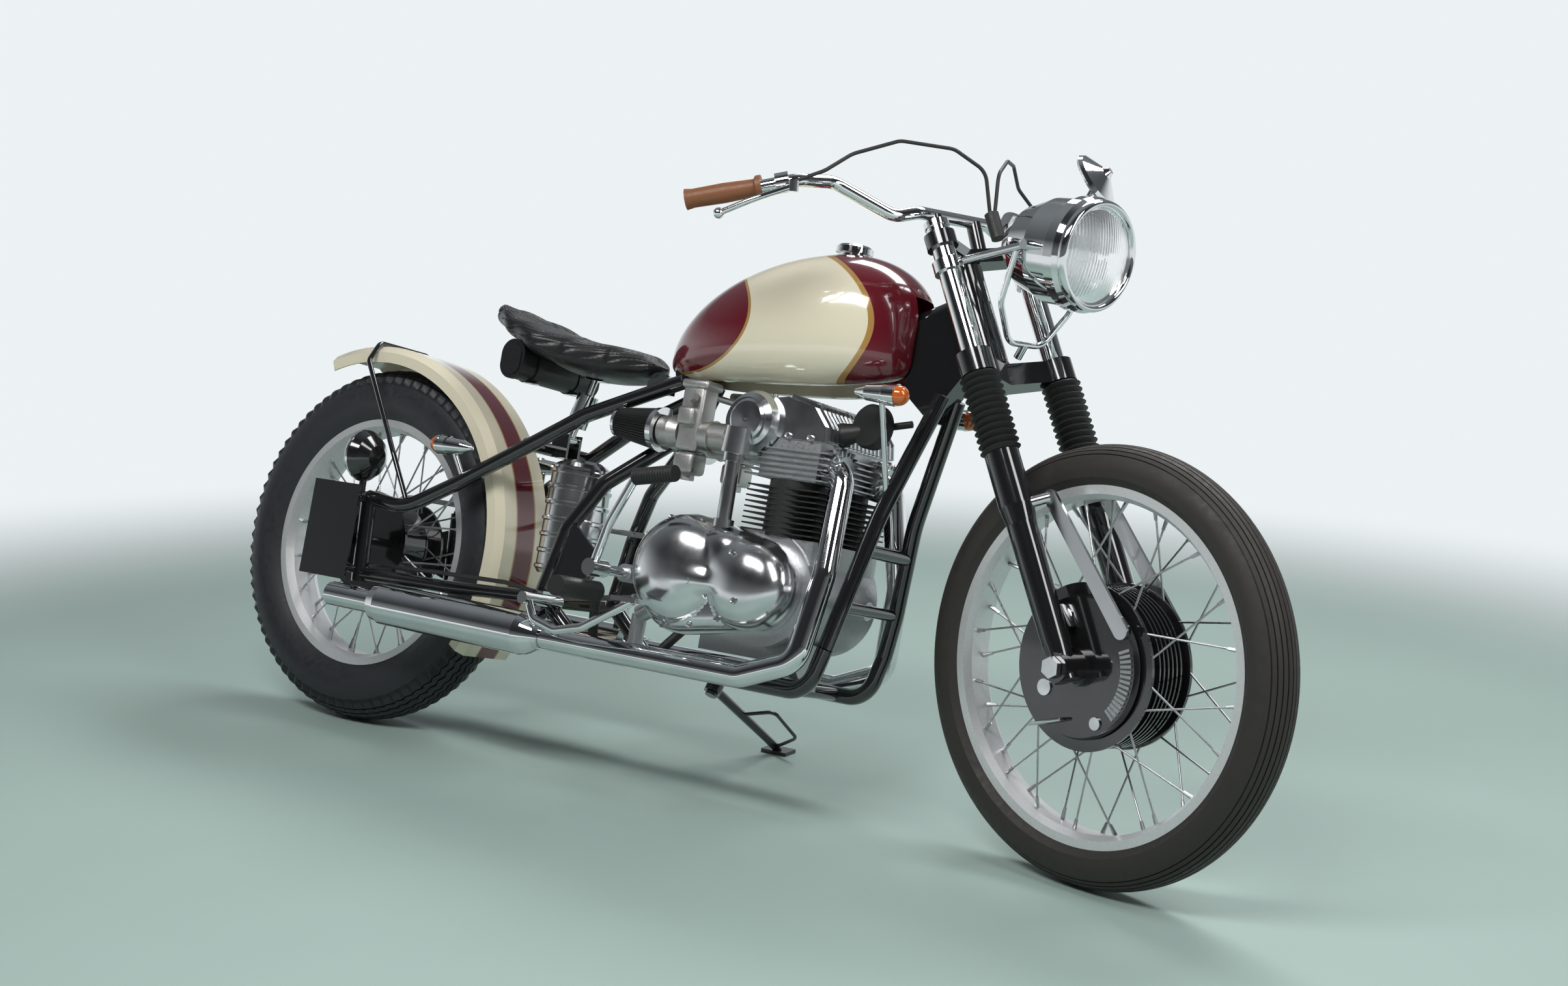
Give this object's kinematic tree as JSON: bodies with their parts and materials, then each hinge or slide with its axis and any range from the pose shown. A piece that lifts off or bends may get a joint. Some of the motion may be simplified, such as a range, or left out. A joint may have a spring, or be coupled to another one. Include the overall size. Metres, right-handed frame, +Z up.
{
  "type": "bobber motorcycle",
  "caption": "Rigid-frame bobber motorcycle with a parallel twin engine, sprung solo saddle and twin drum front brake, on its side stand.",
  "frame": {"origin": "middle of the box's base, on the floor under the parked machine", "axes": "+X the way it heads, +Y its left, +Z up; it leans 14.7 degrees to +Y on its side stand, its fork turned 15 degrees to the right"},
  "size_m": [2.2625, 0.901, 1.1437],
  "materials": {
    "barrel_black": "matt",
    "black_leather": "stitched",
    "black_plastic": "gloss",
    "black_rubber": "matt",
    "brown_rubber": "ribbed",
    "cast_aluminium": "cast",
    "chrome": "mirror",
    "fender_cream": "gloss with a maroon band and gold lines",
    "filter_black": "pleated",
    "frame_black": "gloss",
    "indicator_amber": "gloss",
    "polished_aluminium": "polished",
    "steel": "satin",
    "tank_maroon": "gloss with cream panels and gold lines",
    "tyre_rubber": "matt"
  },
  "bodies": {
    "frame": {"frame_neck": "frame_black", "frame_downtubes": "frame_black", "frame_cradle": "frame_black", "seat_posts": "frame_black", "upper_stays": "frame_black", "lower_stays": "frame_black", "rear_axle": "steel", "crankcase": "cast_aluminium", "engine_covers": "polished_aluminium", "cylinder_barrel": "barrel_black", "cylinder_head": "cast_aluminium", "cam_cover": "polished_aluminium", "bevel_drive": "polished_aluminium", "carburettors": "cast_aluminium", "air_filters": "filter_black", "headers": "chrome", "mufflers": "chrome", "kick_starter": "chrome", "foot_controls": "chrome", "footpegs": "black_rubber", "drive_chain": "steel", "fuel_tank": "tank_maroon", "fuel_cap": "chrome", "seat": "black_leather", "seat_springs": "chrome", "tool_bag": "black_leather", "oil_canister": "polished_aluminium", "rear_fender": "fender_cream", "fender_strut": "frame_black", "number_plate": "black_plastic", "tail_light": "chrome", "indicators": "indicator_amber", "horn": "black_plastic", "rear_brake_cable": "black_rubber"},
    "steering": {"fork_yokes": "frame_black", "fork_tubes": "chrome", "fork_gaiters": "black_rubber", "fork_sliders": "frame_black", "front_axle": "steel", "brake_plates": "polished_aluminium", "torque_arms": "chrome", "handlebar": "chrome", "grips": "brown_rubber", "hand_levers": "chrome", "headlight": "chrome", "headlight_bracket": "chrome", "headlight_loop": "chrome", "mirror": "chrome", "control_cables": "black_rubber"},
    "front_wheel": {"front_hub": "polished_aluminium", "front_rim": "cast_aluminium", "front_spokes": "steel", "front_tyre": "tyre_rubber"},
    "rear_wheel": {"rear_hub": "polished_aluminium", "rear_rim": "cast_aluminium", "rear_spokes": "steel", "rear_tyre": "tyre_rubber"},
    "side_stand": {"side_stand": "frame_black"}
  },
  "joints": [
    {"name": "steering", "type": "hinge", "parent": "frame", "child": "steering", "pos_m": [0.46431, -0.03899, 0.8513], "axis": [-0.4617, 0.2257, 0.8578], "range_deg": [-19, 49]},
    {"name": "front_wheel", "type": "hinge", "parent": "steering", "child": "front_wheel", "pos_m": [0.79439, -0.18622, 0.34253], "axis": [0.2296, 0.9645, -0.1302], "continuous": true},
    {"name": "rear_wheel", "type": "hinge", "parent": "frame", "child": "rear_wheel", "pos_m": [-0.78478, -0.17426, 0.33715], "axis": [0, 0.9671, -0.2544], "continuous": true},
    {"name": "side_stand", "type": "hinge", "parent": "frame", "child": "side_stand", "pos_m": [-0.02079, -0.09803, 0.15527], "axis": [0, 0.6465, 0.7629], "range_deg": [0, 75]}
  ]
}
